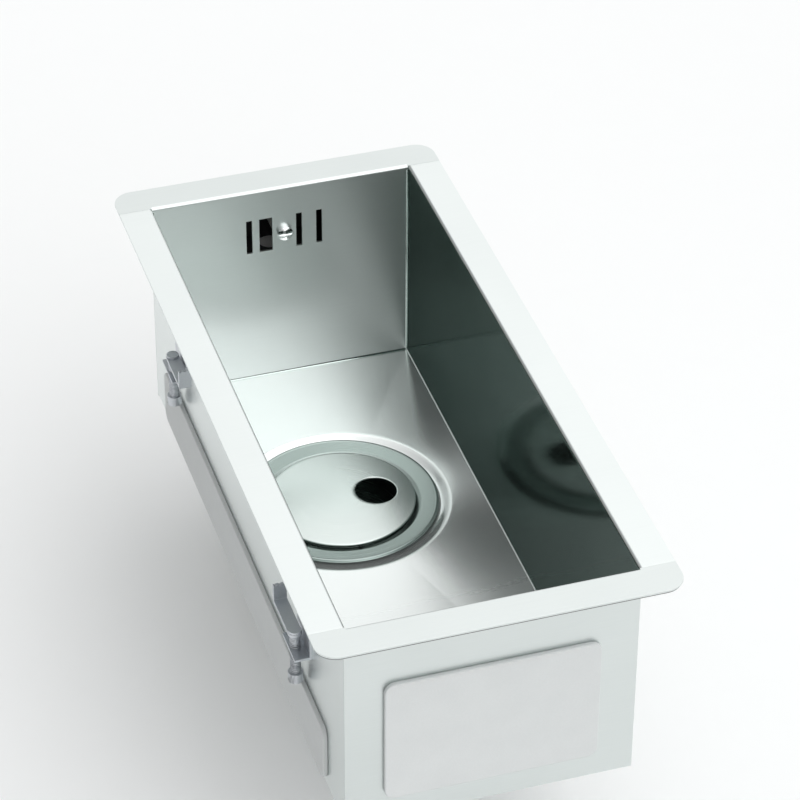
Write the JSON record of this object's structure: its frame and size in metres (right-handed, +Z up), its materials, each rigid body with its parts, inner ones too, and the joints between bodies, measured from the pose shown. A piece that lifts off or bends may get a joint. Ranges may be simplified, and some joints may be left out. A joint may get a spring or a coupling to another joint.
{
  "type": "inset kitchen sink",
  "caption": "Narrow inset sink bowl with square corners, a flat flange, overflow slots, a basket waste under a domed cover plate and swing-out fixing clips.",
  "frame": {"origin": "middle of the bowl opening, on the worktop plane that the rim's sealing strip rests on", "axes": "+Z up, +Y towards the overflow wall along the bowl's length, +X to the right across the bowl"},
  "size_m": [0.2, 0.4535, 0.2168],
  "materials": {
    "bowl_steel": "fine brushed stainless sheet",
    "spun_steel": "spun satin stainless",
    "plate_steel": "satin stainless",
    "polished_steel": "polished stainless",
    "zinc_plate": "zinc-plated steel",
    "black_rubber": "matt black rubber",
    "grey_foam": "closed-cell foam",
    "pad_grey": "pale grey damping sheet",
    "white_plastic": "moulded polypropylene",
    "hose_plastic": "flexible grey plastic",
    "insert_brass": "machined brass"
  },
  "bodies": {
    "bowl": {"side_floor_sheet": "bowl_steel", "back_panel": "bowl_steel", "front_panel": "bowl_steel", "rim_seal": "grey_foam", "left_pad": "pad_grey", "right_pad": "pad_grey", "front_pad": "pad_grey", "floor_pad": "pad_grey", "clip_brackets": "zinc_plate", "overflow_gasket": "grey_foam", "overflow_housing": "white_plastic", "overflow_insert": "insert_brass", "overflow_screw": "polished_steel", "overflow_hose": "hose_plastic", "hose_nut_upper": "white_plastic", "hose_nut_lower": "white_plastic", "hose_seal_upper": "black_rubber", "hose_seal_lower": "black_rubber", "strainer_cup": "spun_steel", "cup_seal": "grey_foam", "body_seal": "black_rubber", "waste_body": "white_plastic", "clamp_insert": "insert_brass", "clamp_bolt": "polished_steel"},
    "basket": {"basket": "spun_steel", "plug_seal": "black_rubber", "basket_stem": "polished_steel"},
    "cover": {"cover_plate": "plate_steel", "cover_feet": "black_rubber"},
    "screw_left_front": {"clip_screw_left_front": "zinc_plate"},
    "arm_left_front": {"clip_arm_left_front": "zinc_plate"},
    "screw_left_back": {"clip_screw_left_back": "zinc_plate"},
    "arm_left_back": {"clip_arm_left_back": "zinc_plate"},
    "screw_right_front": {"clip_screw_right_front": "zinc_plate"},
    "arm_right_front": {"clip_arm_right_front": "zinc_plate"},
    "screw_right_back": {"clip_screw_right_back": "zinc_plate"},
    "arm_right_back": {"clip_arm_right_back": "zinc_plate"}
  },
  "joints": [
    {"name": "basket_lift", "type": "slide", "parent": "bowl", "child": "basket", "axis": [0, 0, 1], "range_m": [0, 0.045]},
    {"name": "cover_lift", "type": "slide", "parent": "basket", "child": "cover", "axis": [0, 0, 1], "range_m": [0, 0.06]},
    {"name": "screw_rise_left_front", "type": "slide", "parent": "bowl", "child": "screw_left_front", "axis": [0, 0, 1], "range_m": [0, 0.014]},
    {"name": "arm_swing_left_front", "type": "hinge", "parent": "screw_left_front", "child": "arm_left_front", "pos_m": [-0.0874, -0.13, -0.058], "axis": [0, 0, 1], "range_deg": [0, 90]},
    {"name": "screw_rise_left_back", "type": "slide", "parent": "bowl", "child": "screw_left_back", "axis": [0, 0, 1], "range_m": [0, 0.014]},
    {"name": "arm_swing_left_back", "type": "hinge", "parent": "screw_left_back", "child": "arm_left_back", "pos_m": [-0.0874, 0.13, -0.058], "axis": [0, 0, -1], "range_deg": [0, 90]},
    {"name": "screw_rise_right_front", "type": "slide", "parent": "bowl", "child": "screw_right_front", "axis": [0, 0, 1], "range_m": [0, 0.014]},
    {"name": "arm_swing_right_front", "type": "hinge", "parent": "screw_right_front", "child": "arm_right_front", "pos_m": [0.0874, -0.13, -0.058], "axis": [0, 0, -1], "range_deg": [0, 90]},
    {"name": "screw_rise_right_back", "type": "slide", "parent": "bowl", "child": "screw_right_back", "axis": [0, 0, 1], "range_m": [0, 0.014]},
    {"name": "arm_swing_right_back", "type": "hinge", "parent": "screw_right_back", "child": "arm_right_back", "pos_m": [0.0874, 0.13, -0.058], "axis": [0, 0, 1], "range_deg": [0, 90]}
  ]
}
